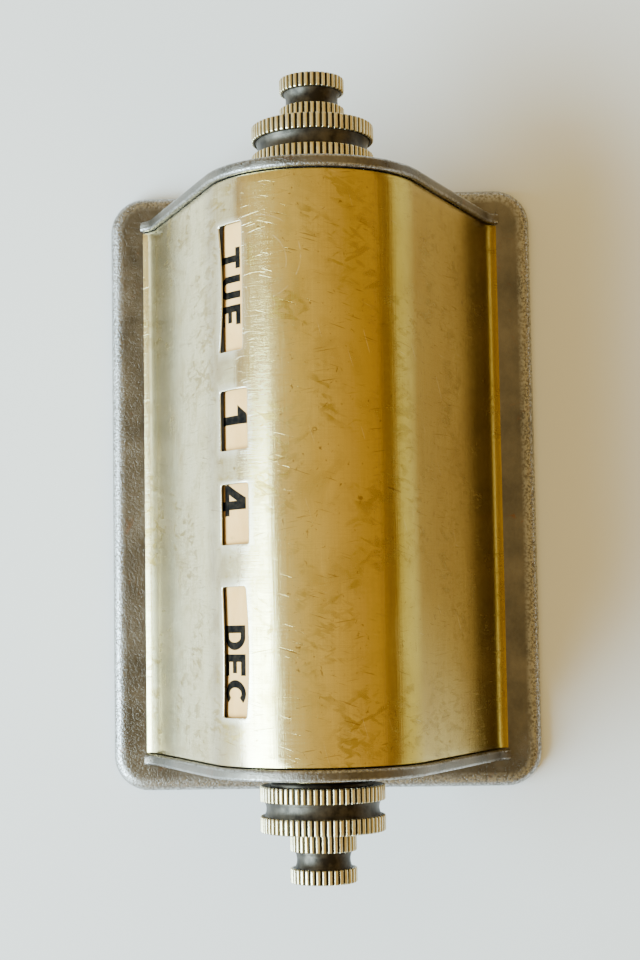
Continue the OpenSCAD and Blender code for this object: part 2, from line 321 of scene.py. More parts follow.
def build_cover(material, shade_material):
    """The brass sheet, with rounded window edges, its inside and cut edges near-black as painted shade, and its
    two hems.
    """
    flat, faces, rects = sheet_layout()
    bm = new_mesh()
    layer = bm.verts.layers.float["wear"]
    outside, inside = [], []
    for point in flat:
        x, s = point
        gap = min(window_distance(rect, x, s) for rect in rects)
        end = COVER_HI.x - abs(x)
        drop = lip_drop(gap, LIP_R) + lip_drop(end, END_LIP)
        sunk = drop + sheet_wobble(x, s)
        vert = bm.verts.new(place(x, s + hand_cut_shift(x, s, False), sunk))
        vert[layer] = max(0.0, 1 - max(gap, 0.0) / WORN_LIP)
        outside.append(vert)
        inside.append(bm.verts.new(place(x, s + hand_cut_shift(x, s, True), COVER_T)))
    for a, b, c in faces:
        bm.faces.new((outside[a], outside[b], outside[c]))
        # The inside faces and, below, the cut edges take the second material: near-black painted shade.
        bm.faces.new((inside[c], inside[b], inside[a])).material_index = 1
    pair = dict(zip(outside, inside))
    open_edges = [e for e in bm.edges if len(e.link_faces) == 1 and e.verts[0] in pair]
    for edge in open_edges:
        a, b = edge.verts
        bm.faces.new((a, b, pair[b], pair[a])).material_index = 1
    loose = [v for v in bm.verts if not v.link_faces]
    bmesh.ops.delete(bm, geom=loose, context="VERTS")
    bmesh.ops.recalc_face_normals(bm, faces=bm.faces)
    for side in (-1, 1):
        ends = sorted((side * (COVER_HI.y - HEM_INSET), side * (COVER_HI.y - HEM_WIDTH)))
        low = (COVER_LO.x, ends[0], PAN_HI.z)
        high = (COVER_HI.x, ends[1], PAN_HI.z + COVER_T)
        add_block(bm, low, high)
    shell = add_object("cover_shell", bm, material, "case", ("cover",), 40)
    shell.data.materials.append(shade_material)
    return shell


# ---------------------------------------------------------------- end plates and base

def plate_ring(x, grow):
    """The end plate's pitted outline at x, standing proud of the cover by grow."""
    points = []
    steps = 150
    for i in range(steps + 1):
        flat = outline(HALF_SHEET * (2 * i / steps - 1), grow)[0]
        z = max(AXIS_Z + flat.y, PAN_HI.z + 0.02 * MM)
        points.append(Vector((x, flat.x, z)))
    first, last = points[0].copy(), points[-1].copy()
    first.z = last.z = PAN_HI.z
    points = [first] + points + [last]
    pits = [noise.noise(p * 900) * noise.noise(p * 260 + Vector((5, 2, 1))) for p in points]
    middle = Vector((x, 0, AXIS_Z))
    eaten = [0.12 * MM * max(0.0, pit) for pit in pits]
    return [p + (middle - p).normalized() * e for p, e in zip(points, eaten)]


def build_end_plate(name, side, material):
    """A steel end plate with rounded edges, a hole for its bush and two tabs over the base."""
    bm = new_mesh()
    outer, inner = PLATE_HI.x, PLATE_HI.x - PLATE_T
    edge = quarter(PLATE_EDGE_R)
    levels = [(inner + drop, inset) for inset, drop in reversed(edge)]
    levels += [(outer - drop, inset) for inset, drop in edge]
    rings = []
    for x, inset in levels:
        # The rounded edges are painted pale: worn metal, and a painted highlight as well
        worn = 0.6 if 0 < inset < PLATE_EDGE_R else 0.05
        rings.append(add_ring(bm, plate_ring(side * x, PLATE_RIM - inset), worn))
    bridge(bm, rings)
    holes = []
    for x, ring in ((inner, rings[0]), (outer, rings[-1])):
        circle = [unit(TAU * i / 64) * BUSH_R for i in range(64)]
        points = [Vector((side * x, p.x, AXIS_Z + p.y)) for p in circle]
        hole = add_ring(bm, points)
        holes.append(hole)
        face_edge = [bm.edges.get((a, b)) for a, b in zip(ring, ring[1:] + ring[:1])]
        hole_edge = [bm.edges.new((a, b)) for a, b in zip(hole, hole[1:] + hole[:1])]
        bmesh.ops.triangle_fill(bm, use_beauty=True, edges=face_edge + hole_edge)
    bridge(bm, holes)
    length, width, thick = PLATE_TAB
    ends = sorted((side * (inner - length), side * inner))
    for y in (-PLATE_TAB_Y, PLATE_TAB_Y):
        low = (ends[0], y - width / 2, PAN_HI.z)
        high = (ends[1], y + width / 2, PAN_HI.z + thick)
        add_block(bm, low, high)
    bmesh.ops.recalc_face_normals(bm, faces=bm.faces)
    return add_object(name + "_sheet", bm, material, "case", (name,), 40)


def loft_slab(bm, levels, low, high, corner, shake):
    """Rings for (inset, height, wear) levels, each the outer outline pulled in along its normals.

    shake is the depth of a slow unevenness in every level above the lowest ones.
    """
    loop = rounded_loop(low.x, high.x, low.y, high.y, corner, 1.0 * MM, 10)
    rings = []
    for inset, z, wear in levels:
        points = []
        for i, p in enumerate(loop):
            ahead = loop[(i + 1) % len(loop)] - loop[i - 1]
            inward = Vector((-ahead.y, ahead.x)).normalized()
            q = p + inward * inset
            wave = noise.noise(Vector((p.x * 90, p.y * 90, 1.5)))
            lowered = shake * (0.5 + 0.5 * wave) if z > low.z + 0.3 * MM else 0.0
            points.append(Vector((q.x, q.y, z - lowered)))
        rings.append(add_ring(bm, points, wear))
    return rings


def cap_ends(bm, rings):
    """Flat faces over the first and the last ring."""
    bm.faces.new(rings[-1])
    bm.faces.new(list(reversed(rings[0])))
    bmesh.ops.recalc_face_normals(bm, faces=bm.faces)


def build_pan(material):
    """The pressed base, with a rolled rim painted pale where it turns over: partly worn metal, partly a painted
    highlight of the window light.
    """
    bm = new_mesh()
    sheet = 0.9 * MM
    edge = 1.6 * MM
    levels = [(sheet, PAN_HI.z - sheet, 0.0), (sheet, PAN_LO.z + 0.15 * MM, 0.0)]
    levels += [(sheet * 0.75, PAN_LO.z, 0.2), (sheet * 0.25, PAN_LO.z, 0.3)]
    levels += [(0.0, PAN_LO.z + 0.2 * MM, 0.5)]
    # The rolled edge is painted pale: worn metal, and a painted highlight of the window light as well
    levels += [(i, PAN_HI.z - d, 1.0 - 0.7 * i / edge) for i, d in quarter(edge, 7)]
    levels += [(edge + 0.5 * MM, PAN_HI.z, 0.0), (edge + 4 * MM, PAN_HI.z, 0.0)]
    rings = loft_slab(bm, levels, PAN_LO, PAN_HI, PAN_CORNER_R, 0.05 * MM)
    bridge(bm, rings)
    cap_ends(bm, rings)
    return add_object("base_tray", bm, material, "case", ("base_pan",), 40)


def build_pad(material):
    """The felt under the base, with soft lower edges."""
    bm = new_mesh()
    height = PAD_HI.z - PAD_LO.z
    edge = 0.35 * MM
    levels = [(2.5 * MM, PAD_HI.z, 0.0), (0.2 * MM, PAD_HI.z, 0.0)]
    levels += [(0.0, PAD_HI.z - 0.3 * MM, 0.0), (0.0, PAD_LO.z + height * 0.4, 0.0)]
    levels += [(i, PAD_LO.z + d, 0.0) for i, d in quarter(edge)]
    levels += [(step * MM, PAD_LO.z, 0.0) for step in (1.2, 2.4)]
    rings = loft_slab(bm, levels, PAD_LO, PAD_HI, PAD_CORNER_R, 0.0)
    bridge(bm, rings)
    cap_ends(bm, rings)
    return add_object("felt_sole", bm, material, "case", ("felt_pad",), 50)


# ---------------------------------------------------------------- knobs

KNURL_DEPTH = 0.35 * MM
KNURL_ROOT = 0.55 * MM
KNOB_TEETH, FINIAL_TEETH = 62, 34

# One tooth and the valley after it: (share of the pitch, share of the knurl's depth)
TOOTH = (
    (0.0, 0.12), (0.1, 0.0), (0.4, 0.0), (0.5, 0.12), (0.58, 0.5), (0.67, 0.95), (0.83, 0.95),
    (0.92, 0.5),
)

# Where each pair of knurled rings starts and ends, out from the end plate
KNOB_RINGS = (1.35 * MM, 3.35 * MM, 5.2 * MM, 7.25 * MM)
FINIAL_RINGS = (7.35 * MM, 9.75 * MM, 11.85 * MM, 13.75 * MM)
SLEEVE_R = 2.15 * MM
SHAFT_R = 1.25 * MM


def knurled_stations(x0, x1, radius, bevel, root):
    """(x, radius, ring radius, wear) stations over a knurled ring, from its near to its far face."""
    stations = [(x0, root, radius, 0.1)]
    stations += [(x0 + d, radius - i, radius, 1.0) for d, i in quarter(bevel, 3)]
    stations += [(x1 - d, radius - i, radius, 1.0) for d, i in reversed(quarter(bevel, 3))]
    stations += [(x1, root, radius, 0.1)]
    return stations


def plain_stations(points, wear):
    """Stations without teeth."""
    return [(x, r, None, wear) for x, r in points]


def concave(x0, x1, r_end, r_mid, steps=8):
    """Stations' points along a waisted neck."""
    points = []
    for i in range(steps + 1):
        t = i / steps
        sag = math.sin(math.pi * t) ** 0.7
        points.append((x0 + (x1 - x0) * t, r_end + (r_mid - r_end) * sag))
    return points


def large_profile():
    """The large knob, from its back to the bore that goes over the sleeve."""
    a = KNOB_RINGS
    radius = (KNOB_HI.z - KNOB_LO.z) / 2
    root = radius - KNURL_ROOT
    bevel = 0.22 * MM
    back = 0.85 * MM
    # The back, in the gap by the end plate, stays at nought and takes the dark oxide all over: oxide, and painted
    # shade between the parts
    stations = plain_stations([(back, SLEEVE_R), (back, 6.5 * MM), (back + 0.2 * MM, 6.7 * MM)], 0.0)
    stations += plain_stations([(a[0] - 0.02 * MM, 6.7 * MM)], 0.0)
    stations += knurled_stations(a[0], a[1], radius, bevel, root)
    stations += plain_stations(concave(a[1] + 0.02 * MM, a[2] - 0.02 * MM, root, 7.28 * MM), 0.3)
    stations += knurled_stations(a[2], a[3], radius, bevel, root)
    face = [(a[3], 6.6 * MM), (a[3] - 0.12 * MM, 6.3 * MM), (a[3] - 0.12 * MM, 4.9 * MM)]
    stations += plain_stations(face, 0.35)
    stations += plain_stations([(a[3], 4.7 * MM), (a[3], SLEEVE_R)], 0.5)
    return stations


def small_profile():
    """The small knob, with a dished face and a centre mark from the lathe."""
    a = FINIAL_RINGS
    radius = (FINIAL_HI.z - FINIAL_LO.z) / 2
    root = radius - KNURL_ROOT
    bevel = 0.2 * MM
    stations = plain_stations([(a[0], SHAFT_R)], 0.0)
    stations += knurled_stations(a[0], a[1], radius, bevel, root)
    stations += plain_stations(concave(a[1] + 0.02 * MM, a[2] - 0.02 * MM, root, 3.45 * MM), 0.25)
    stations += knurled_stations(a[2], a[3], radius, bevel, root)
    face = [(a[3], 3.2 * MM), (a[3] - 0.1 * MM, 2.9 * MM), (a[3] - 0.22 * MM, 1.6 * MM)]
    stations += plain_stations(face, 0.6)
    stations += plain_stations([(a[3] - 0.24 * MM, 0.5 * MM)], 0.6)
    stations += plain_stations([(a[3] - 1.0 * MM, 0.5 * MM), (a[3] - 1.0 * MM, SHAFT_R)], 0.0)
    return stations


def build_knob(name, side, stations, teeth, material, body):
    """Turns the stations round the axis, with teeth where a station belongs to a knurled ring."""
    bm = new_mesh()
    rings = []
    for x, radius, ring_radius, wear in stations:
        points, worn = [], []
        for tooth in range(teeth):
            for share, depth in TOOTH:
                angle = TAU * (tooth + share) / teeth
                r = radius
                if ring_radius:
                    r = min(radius, ring_radius - KNURL_DEPTH * depth)
                worn.append(wear * (1 - depth) if ring_radius else wear)
                y, z = r * math.cos(angle), r * math.sin(angle)
                points.append(Vector((side * (PLATE_HI.x + x), y, AXIS_Z + z)))
        rings.append(add_ring(bm, points, worn))
    bridge(bm, rings, closed_loop=True)
    bmesh.ops.recalc_face_normals(bm, faces=bm.faces)
    return add_object(name + "_turned", bm, material, body, (name,), 50)


# ---------------------------------------------------------------- lettering

PEN = 0.2
INK_T = 0.02 * MM

# Each letter: its width, then its strokes, in units of the cap height. b is a level bar
# (x0, y, x1) or, with v, an upright one (x, y0, y1); l is a slanted line (x0, y0, x1, y1);
# a is an arc (centre x, centre y, radius x, radius y, start and end in degrees).
GLYPHS = {
    "A": (0.82, "l0,0,.41,1 l.82,0,.41,1 b.2,.25,.62"),
    "B": (
        0.72, "b.1,0,1v b.1,.1,.42 b.1,.53,.4 b.1,.9,.4 a.4,.72,.24,.19,-90,90 a.42,.31,.27,.21,-90,90",
    ),
    "C": (0.78, "a.42,.5,.32,.4,48,312"),
    "D": (0.76, "b.1,0,1v b.1,.1,.36 b.1,.9,.36 a.36,.5,.3,.4,-90,90"),
    "E": (0.66, "b.1,0,1v b0,.1,.66 b0,.5,.58 b0,.9,.66"),
    "F": (0.64, "b.1,0,1v b0,.5,.58 b0,.9,.64"),
    "G": (0.8, "a.42,.5,.32,.4,48,330 b.42,.42,.8 b.7,0,.5v"),
    "H": (0.76, "b.1,0,1v b.66,0,1v b.1,.5,.66"),
    "I": (0.2, "b.1,0,1v"),
    "J": (0.6, "b.5,.3,1v a.28,.32,.22,.22,180,360"),
    "L": (0.6, "b.1,0,1v b0,.1,.6"),
    "M": (0.94, "b.1,0,1v b.84,0,1v l.47,.15,.14,1 l.47,.15,.8,1"),
    "N": (0.78, "b.1,0,1v b.68,0,1v l.66,0,.12,1"),
    "O": (0.82, "a.41,.5,.31,.4,0,360"),
    "P": (0.7, "b.1,0,1v b.1,.42,.42 b.1,.9,.42 a.4,.66,.24,.24,-90,90"),
    "R": (0.76, "b.1,0,1v b.1,.45,.42 b.1,.9,.42 a.4,.675,.24,.225,-90,90 l.64,0,.4,.45"),
    "S": (0.72, "a.36,.71,.25,.19,20,270 a.36,.29,.25,.21,-160,90"),
    "T": (0.7, "b.35,0,1v b0,.9,.7"),
    "U": (0.76, "b.1,.38,1v b.66,.38,1v a.38,.38,.28,.28,180,360"),
    "V": (0.8, "l.4,0,.02,1 l.4,0,.78,1"),
    "W": (1.1, "l.3,0,.03,1 l.3,0,.55,1 l.8,0,.55,1 l.8,0,1.07,1"),
    "Y": (0.8, "b.4,0,.45v l.4,.35,.04,1 l.4,.35,.76,1"),
    "0": (0.66, "a.33,.5,.23,.4,0,360"),
    "1": (0.42, "b.3,0,1v l.06,.68,.28,.98"),
    "2": (0.66, "a.32,.68,.22,.22,-35,165 l.08,.14,.46,.58 b0,.1,.66"),
    "3": (0.66, "a.32,.72,.2,.18,-80,160 a.32,.3,.22,.2,-160,95"),
    "4": (0.74, "b.5,0,1v b0,.28,.74 l.06,.26,.44,1"),
    "5": (0.66, "b.08,.9,.6 b.16,.48,.95v a.32,.33,.22,.23,-150,130"),
    "6": (0.66, "a.33,.32,.22,.22,0,360 a.42,.4,.31,.5,100,185"),
    "7": (0.64, "b0,.9,.64 l.22,0,.52,.9"),
    "8": (0.66, "a.33,.72,.19,.18,0,360 a.33,.3,.23,.2,0,360"),
    "9": (0.66, "a.33,.68,.22,.22,0,360 a.24,.6,.31,.5,-80,5"),
}
DAYS = ("SUN", "MON", "TUE", "WED", "THU", "FRI", "SAT")
MONTHS = ("JAN", "FEB", "MAR", "APR", "MAY", "JUN", "JUL", "AUG", "SEP", "OCT", "NOV", "DEC")


def stroke_outline(code, width, stem):
    """The two sides of one stroke of a glyph, as lists of points in units of the cap height.

    Upright strokes are heavier than level ones: they grow from the pen's width to stem, inward.
    """
    kind, numbers = code[0], code[1:]
    upright = numbers.endswith("v")
    values = [float(n) for n in numbers.rstrip("v").split(",")]
    half, extra = PEN / 2, stem - PEN
    if kind == "b" and upright:
        x, y0, y1 = values
        cuts = [y0 + (y1 - y0) * i / 10 for i in range(11)]
        left = x - half - (extra if x > width / 2 else 0)
        return [(left, y) for y in cuts], [(left + stem, y) for y in cuts]
    if kind == "b":
        x0, y, x1 = values
        return [(x0, y - half), (x0, y + half)], [(x1, y - half), (x1, y + half)]
    if kind == "l":
        x0, y0, x1, y1 = values
        run = math.hypot(x1 - x0, y1 - y0) / max(abs(y1 - y0), 0.01)
        wide = stem / 2 * min(run, 1.6) * 0.94
        cuts = [i / 10 for i in range(11)]
        middle = [(x0 + (x1 - x0) * t, y0 + (y1 - y0) * t) for t in cuts]
        return [(x - wide, y) for x, y in middle], [(x + wide, y) for x, y in middle]
    cx, cy, rx, ry, start, end = values
    count = 28
    angles = [math.radians(start + (end - start) * i / count) for i in range(count + 1)]
    hollow_x, hollow_y = rx - half - extra, ry - half
    inner = [(cx + hollow_x * math.cos(a), cy + hollow_y * math.sin(a)) for a in angles]
    outer = [(cx + (rx + half) * math.cos(a), cy + (ry + half) * math.sin(a)) for a in angles]
    return inner, outer


def ink_point(x, angle, lift):
    """The point at x and angle round the label, lifted off its surface."""
    r = LABEL_R + lift
    return Vector((x, -r * math.cos(angle), AXIS_Z + r * math.sin(angle)))


def add_stroke(bm, sides, x, angle, cap, squeeze, lift):
    """One stroke as a thin slab wrapped round the label; angle is the baseline's."""

    def ring(points, height):
        placed = [(x + px * cap * squeeze, angle + py * cap / LABEL_R) for px, py in points]
        return [bm.verts.new(ink_point(px, turn, height)) for px, turn in placed]

    left, right = sides
    low_l, low_r = ring(left, 0.002 * MM), ring(right, 0.002 * MM)
    top_l, top_r = ring(left, INK_T + lift), ring(right, INK_T + lift)
    bridge(bm, [low_l, top_l, top_r, low_r], closed_rings=False, closed_loop=True)
    for i in (0, -1):
        bm.faces.new((low_l[i], top_l[i], top_r[i], low_r[i]))


def add_word(bm, word, style, baseline):
    """style is (middle along X, cap height, squeeze, gap, stem)."""
    centre, cap, squeeze, gap, stem = style
    width = sum(GLYPHS[letter][0] * cap * squeeze for letter in word) + gap * (len(word) - 1)
    x = centre - width / 2
    for letter in word:
        advance, strokes = GLYPHS[letter]
        for number, code in enumerate(strokes.split()):
            sides = stroke_outline(code, advance, stem)
            add_stroke(bm, sides, x, baseline, cap, squeeze, 0.0012 * MM * number)
        x += advance * cap * squeeze + gap


def build_lettering(name, words, shown, style, low, material, body):
    """words go round the drum; the one numbered shown has its baseline at low, in the window."""
    bm = new_mesh()
    for number, word in enumerate(words):
        if word:
            add_word(bm, word, style, low + TAU * (number - shown) / len(words))
    bmesh.ops.recalc_face_normals(bm, faces=bm.faces)
    return add_object(name, bm, material, body, (), 30)


# ---------------------------------------------------------------- materials

class Tree:
    """A short way to write a material's nodes."""

    def __init__(self, name):
        self.material = bpy.data.materials.new(name)
        self.material.use_nodes = True
        self.nodes = self.material.node_tree.nodes
        self.links = self.material.node_tree.links
        self.shader = self.nodes["Principled BSDF"]
        coords = self.nodes.new("ShaderNodeTexCoord")
        self.coords = coords.outputs["Object"]

    def put(self, socket, value):
        """Links value to the socket, or sets it there if it is a plain number or colour."""
        if isinstance(value, bpy.types.NodeSocket):
            self.links.new(value, socket)
        elif socket.type == "RGBA" and len(value) == 3:
            socket.default_value = (*value, 1.0)
        else:
            socket.default_value = value

    def node(self, kind, output=0, settings=(), **inputs):
        """Adds a node and returns one of its outputs."""
        made = self.nodes.new(kind)
        for key, value in dict(settings).items():
            setattr(made, key, value)
        for key, value in inputs.items():
            self.put(made.inputs[key.replace("_", " ")], value)
        return made.outputs[output]

    def scaled(self, factors):
        """Object coordinates stretched by factors, which are per metre."""
        made = self.nodes.new("ShaderNodeMapping")
        self.links.new(self.coords, made.inputs["Vector"])
        made.inputs["Scale"].default_value = factors
        return made.outputs[0]

    def noise(self, factors, detail=4.0, rough=0.55, distortion=0.0):
        vector = self.scaled(factors)
        return self.node(
            "ShaderNodeTexNoise", Vector=vector, Scale=1.0, Detail=detail, Roughness=rough,
            Distortion=distortion,
        )

    def ramp(self, value, low, high, low_value=0.0, high_value=1.0):
        return self.node(
            "ShaderNodeMapRange", Value=value, From_Min=low, From_Max=high, To_Min=low_value,
            To_Max=high_value,
        )

    def math(self, operation, a, b=0.0):
        made = self.nodes.new("ShaderNodeMath")
        made.operation = operation
        self.put(made.inputs[0], a)
        self.put(made.inputs[1], b)
        return made.outputs[0]

    def mix(self, factor, a, b):
        made = self.nodes.new("ShaderNodeMix")
        made.data_type = "RGBA"
        self.put(made.inputs[0], factor)
        self.put(made.inputs[6], a)
        self.put(made.inputs[7], b)
        return made.outputs[2]

    def strokes(self, turn, length, width, low, high, detail=2.0):
        """Marks of about this length and width (metres), at an angle to X across the top."""
        made = self.nodes.new("ShaderNodeMapping")
        made.vector_type = "TEXTURE"
        self.links.new(self.coords, made.inputs["Vector"])
        made.inputs["Rotation"].default_value = (0, 0, math.radians(turn))
        made.inputs["Scale"].default_value = (length, width, length)
        marks = self.node(
            "ShaderNodeTexNoise", Vector=made.outputs[0], Scale=1.0, Detail=detail, Roughness=0.5,
            Distortion=0.35,
        )
        return self.ramp(marks, low, high)

    def arc(self, x, y, radius):
        """A faint scratch along a circle on the top, broken up by noise."""
        offset = self.nodes.new("ShaderNodeVectorMath")
        offset.operation = "DISTANCE"
        flat = self.nodes.new("ShaderNodeVectorMath")
        flat.operation = "MULTIPLY"
        self.put(flat.inputs[0], self.coords)
        self.put(flat.inputs[1], (1, 1, 0))
        self.put(offset.inputs[0], flat.outputs[0])
        self.put(offset.inputs[1], (x, y, 0))
        away = self.math("ABSOLUTE", self.math("SUBTRACT", offset.outputs[1], radius))
        broken = self.ramp(self.noise((330, 330, 330), 3.0, 0.7), 0.48, 0.56)
        return self.math("MULTIPLY", self.ramp(away, 0.00003, 0.00011, 1, 0), broken)

    def wear(self):
        """The mesh's wear layer."""
        return self.node("ShaderNodeAttribute", 2, {"attribute_name": "wear"})

    def bump(self, height, depth, strength=1.0, normal=None):
        inputs = {"Strength": strength, "Distance": depth, "Height": height}
        if normal is not None:
            inputs["Normal"] = normal
        return self.node("ShaderNodeBump", **inputs)

    def finish(self, **inputs):
        """Sets the shader's inputs and returns the material."""
        for key, value in inputs.items():
            self.put(self.shader.inputs[key.replace("_", " ")], value)
        return self.material


def aged_brass():
    """Brass pale over the front, a painted highlight of the window light, golden on the top, and darker behind,
    painted shade; patina, scratches and grain go over all.
    """
    t = Tree("aged_brass")
    wear = t.wear()
    parts = t.nodes.new("ShaderNodeSeparateXYZ")
    t.links.new(t.coords, parts.inputs[0])
    x_at, y_at = parts.outputs[0], parts.outputs[1]
    broad = t.noise((70, 90, 90), 3.0, 0.5)
    cloud = t.noise((190, 230, 230), 6.0, 0.62, 0.6)
    patch = t.noise((110, 130, 130), 4.0, 0.6, 0.4)

    # Tone across the cover: the pale front is a painted highlight of the window light, the deep back is painted
    # shade, and the top is golden
    lean = t.math("ADD", t.math("MULTIPLY", x_at, 0.06), t.math("MULTIPLY", broad, 0.010))
    level = t.math("SUBTRACT", y_at, lean)
    pale = t.mix(t.ramp(cloud, 0.35, 0.68), (0.84, 0.755, 0.45), (0.77, 0.66, 0.34))
    gold = t.mix(t.ramp(broad, 0.35, 0.68), (0.70, 0.56, 0.19), (0.62, 0.465, 0.12))
    deep = t.mix(t.ramp(broad, 0.35, 0.68), (0.49, 0.355, 0.060), (0.42, 0.28, 0.030))
    top = t.mix(t.ramp(level, -0.0165, -0.0060), pale, gold)
    base = t.mix(t.ramp(level, -0.0045, 0.0030), top, deep)
    # A darker strip along the row of windows is a painted reflection: the curve there mirrors a darker room than
    # the highlight beside it
    band = t.math("MULTIPLY", t.ramp(y_at, -0.0146, -0.0132), t.ramp(y_at, -0.0092, -0.0078, 1, 0))
    band_shade = t.math("MULTIPLY", band, t.ramp(cloud, 0.30, 0.60, 0.35, 0.95))
    banded = t.mix(band_shade, base, (0.46, 0.38, 0.24))

    # Patina in clouds, in dabs and in spots, and marks from handling
    stain = t.ramp(cloud, 0.50, 0.72)
    stained = t.mix(t.math("MULTIPLY", stain, 0.45), banded, (0.34, 0.225, 0.035))
    dabs = t.math("MAXIMUM", t.strokes(62, 0.0030, 0.0009, 0.54, 0.60, 3.0),
                  t.strokes(118, 0.0034, 0.0010, 0.56, 0.62, 3.0))
    dabbed_at = t.math("MULTIPLY", dabs, t.ramp(patch, 0.48, 0.60))
    dabbed = t.mix(t.math("MULTIPLY", dabbed_at, 0.7), stained, (0.33, 0.22, 0.022))
    spots = t.ramp(t.noise((1300, 1500, 1500), 4.0, 0.6, 0.8), 0.64, 0.70)
    spotted = t.mix(t.math("MULTIPLY", spots, 0.75), dabbed, (0.20, 0.11, 0.018))
    nicks = t.math("MAXIMUM", t.strokes(15, 0.009, 0.00018, 0.735, 0.77),
                   t.strokes(64, 0.006, 0.00015, 0.74, 0.775))
    for ring in ((-0.0255, -0.0072, 0.0042), (-0.0262, -0.0066, 0.0054)):
        nicks = t.math("MAXIMUM", nicks, t.arc(*ring))
    nicked = t.mix(t.math("MULTIPLY", nicks, 0.4), spotted, (0.92, 0.84, 0.60))
    cuts = t.math("MAXIMUM", t.strokes(72, 0.004, 0.00022, 0.68, 0.73),
                  t.strokes(100, 0.005, 0.00020, 0.69, 0.74))
    scored = t.mix(t.math("MULTIPLY", cuts, 0.7), nicked, (0.22, 0.125, 0.015))

    # Brushed grain, both ways
    along = t.noise((110, 3600, 3600), 3.0, 0.65)
    across = t.noise((5600, 230, 230), 3.0, 0.65)
    grain = t.math("ADD", t.math("MULTIPLY", along, 0.5), t.math("MULTIPLY", across, 0.5))
    lines = t.math("MULTIPLY", t.ramp(grain, 0.40, 0.62), t.ramp(patch, 0.35, 0.60, 0.25, 0.75))
    brushed = t.mix(t.math("MULTIPLY", lines, 0.5), scored, (0.36, 0.255, 0.055))
    colour = t.mix(t.math("MULTIPLY", wear, 0.9), brushed, (0.92, 0.86, 0.66))
    rough = t.ramp(grain, 0.3, 0.7, 0.11, 0.26)
    rough = t.math("ADD", rough, t.math("MULTIPLY", t.math("ADD", stain, dabbed_at), 0.08))
    fine = t.bump(grain, 0.022 * MM, 1.0)
    marks = t.bump(t.math("SUBTRACT", 1.0, cuts), 0.006 * MM, 1.0, fine)
    dents = t.bump(cloud, 0.02 * MM, 0.6, marks)
    return t.finish(
        Base_Color=colour, Metallic=1.0, Roughness=rough, Normal=dents, Anisotropic=0.3,
        Specular_IOR_Level=0.5,
    )


def cut_brass():
    """The sheet's cut edges and inside, near-black: painted shade standing in for the dark gap behind the window
    lips.
    """
    t = Tree("cut_brass")
    black_mottle = t.noise((900, 900, 900), 5.0, 0.65)
    colour = t.mix(t.ramp(black_mottle, 0.35, 0.7), (0.003, 0.0025, 0.002), (0.022, 0.015, 0.008))
    return t.finish(
        Base_Color=colour, Roughness=t.ramp(black_mottle, 0.3, 0.7, 0.7, 0.9),
        Normal=t.bump(black_mottle, 0.01 * MM, 0.6), Specular_IOR_Level=0.05,
    )


def tarnished_steel():
    """Dark pitted steel with a little rust, pale on the rounded edges: partly worn metal, partly a painted
    highlight of the window.
    """
    t = Tree("tarnished_steel")
    wear = t.wear()
    broad = t.noise((130, 150, 150), 5.0, 0.6)
    pits = t.noise((2900, 2900, 2900), 4.0, 0.65)
    fine = t.noise((4200, 900, 900), 3.0, 0.6)
    rust = t.noise((330, 330, 330), 6.0, 0.7, 0.8)
    skin = t.mix(t.ramp(broad, 0.35, 0.65), (0.085, 0.074, 0.060), (0.170, 0.145, 0.112))
    rusted = t.mix(t.math("MULTIPLY", t.ramp(rust, 0.60, 0.70), 0.55), skin, (0.18, 0.07, 0.025))
    # Rounded edges carry the pale steel: worn metal, and a painted highlight of the window as well
    edge_wear_and_glint = t.math("MULTIPLY", wear, t.ramp(pits, 0.42, 0.56, 0.12, 1.0))
    colour = t.mix(t.math("MULTIPLY", edge_wear_and_glint, 0.85), rusted, (0.60, 0.60, 0.60))
    rough = t.ramp(broad, 0.3, 0.7, 0.26, 0.38)
    rough = t.math("SUBTRACT", rough, t.math("MULTIPLY", edge_wear_and_glint, 0.12))
    height = t.math("ADD", t.ramp(pits, 0.35, 0.55), t.math("MULTIPLY", fine, 0.5))
    return t.finish(
        Base_Color=colour, Metallic=0.95, Roughness=rough, Normal=t.bump(height, 0.03 * MM, 0.8)
    )


def knob_metal():
    """Plated brass, bright on the teeth and black with oxide in the grooves."""
    t = Tree("knob_metal")
    wear = t.wear()
    patch = t.noise((420, 420, 420), 5.0, 0.6)
    fine = t.noise((2400, 2400, 2400), 3.0, 0.6)
    turned = t.noise((6000, 260, 260), 2.0, 0.5)
    oxide = t.mix(t.ramp(patch, 0.4, 0.62), (0.022, 0.018, 0.014), (0.080, 0.068, 0.052))
    metal = t.mix(t.ramp(patch, 0.38, 0.62), (0.76, 0.68, 0.45), (0.60, 0.49, 0.25))
    bright = t.ramp(t.math("ADD", wear, t.math("MULTIPLY", fine, 0.2)), 0.5, 1.05)
    colour = t.mix(bright, oxide, metal)
    rough = t.ramp(bright, 0.0, 1.0, 0.42, 0.2)
    height = t.math("ADD", t.math("MULTIPLY", fine, 0.5), t.math("MULTIPLY", turned, 0.5))
    return t.finish(
        Base_Color=colour, Metallic=0.95, Roughness=rough, Normal=t.bump(height, 0.01 * MM, 0.8)
    )


